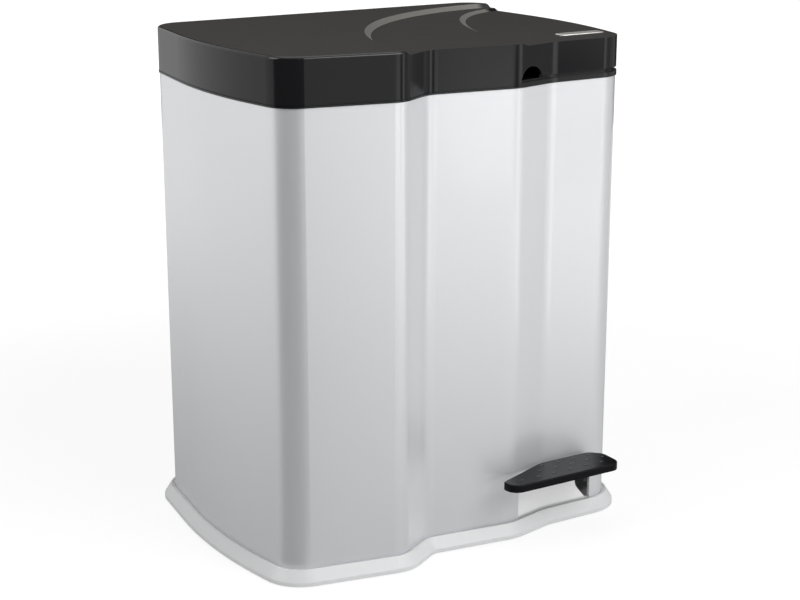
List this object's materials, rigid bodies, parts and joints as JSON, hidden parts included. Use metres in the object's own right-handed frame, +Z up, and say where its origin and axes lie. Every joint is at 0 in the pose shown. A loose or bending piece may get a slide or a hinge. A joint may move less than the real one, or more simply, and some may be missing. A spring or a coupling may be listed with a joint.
{
  "type": "double recycling pedal bin",
  "caption": "Rectangular steel pedal bin with a bowed three-panel front, one rear-hinged lid and a pair of lift-out inner buckets.",
  "frame": {"origin": "on the floor, under the centre of the bounding box", "axes": "+Z up, +X to the right seen from the front, the front with the pedal faces -Y"},
  "size_m": [0.4521, 0.35, 0.521],
  "materials": {
    "white_plastic": "smooth white moulded plastic, low gloss",
    "steel": "glossy white to silver lacquered sheet steel",
    "black_gloss": "black moulded plastic, glossy sides and fine-grained matt top",
    "black_matt": "black moulded plastic, fine matt grain",
    "pedal_black": "black moulded plastic with small anti-slip dimples",
    "bucket_plastic": "dark grey moulded polypropylene",
    "zinc": "bright zinc-plated steel",
    "arm_paint": "black powder coat",
    "nylon": "natural nylon",
    "rubber": "black rubber"
  },
  "bodies": {
    "root": {"base_moulding": "white_plastic", "rubber_feet": "rubber", "steel_jacket": "steel", "jacket_screws": "zinc", "upper_rim": "black_matt", "lid_buffers": "rubber", "hinge_pins": "zinc", "pin_caps": "black_matt", "shaft_bearings": "nylon", "bearing_screws": "zinc", "rod_bush": "nylon", "rod_guide": "nylon", "guide_screws": "zinc", "bucket_left": "bucket_plastic", "bucket_right": "bucket_plastic"},
    "lid": {"lid_shell": "black_gloss", "lid_crank": "black_matt", "crank_screws": "zinc"},
    "pedal": {"pedal_pad": "pedal_black", "pedal_arm": "arm_paint", "pad_screws": "zinc", "cross_shaft": "zinc", "rear_arm": "zinc", "shaft_clips": "zinc"},
    "lift_rod": {"push_rod": "zinc", "rod_head": "nylon", "rod_foot": "nylon"}
  },
  "joints": [
    {"name": "lid_hinge", "type": "hinge", "parent": "root", "child": "lid", "pos_m": [0, 0.1695, 0.476], "axis": [-1, 0, 0], "range_deg": [0, 80]},
    {"name": "pedal_hinge", "type": "hinge", "parent": "root", "child": "pedal", "pos_m": [0, -0.064, 0.0384], "axis": [1, 0, 0], "range_deg": [0, 14]},
    {"name": "rod_slide", "type": "slide", "parent": "root", "child": "lift_rod", "axis": [0, 0, 1], "range_m": [0, 0.04885]}
  ],
  "couplings": [
    {"joint": "pedal_hinge", "follows": "lid_hinge", "ratio": 0.175},
    {"joint": "rod_slide", "follows": "lid_hinge", "m_per_rad": 0.03498}
  ]
}
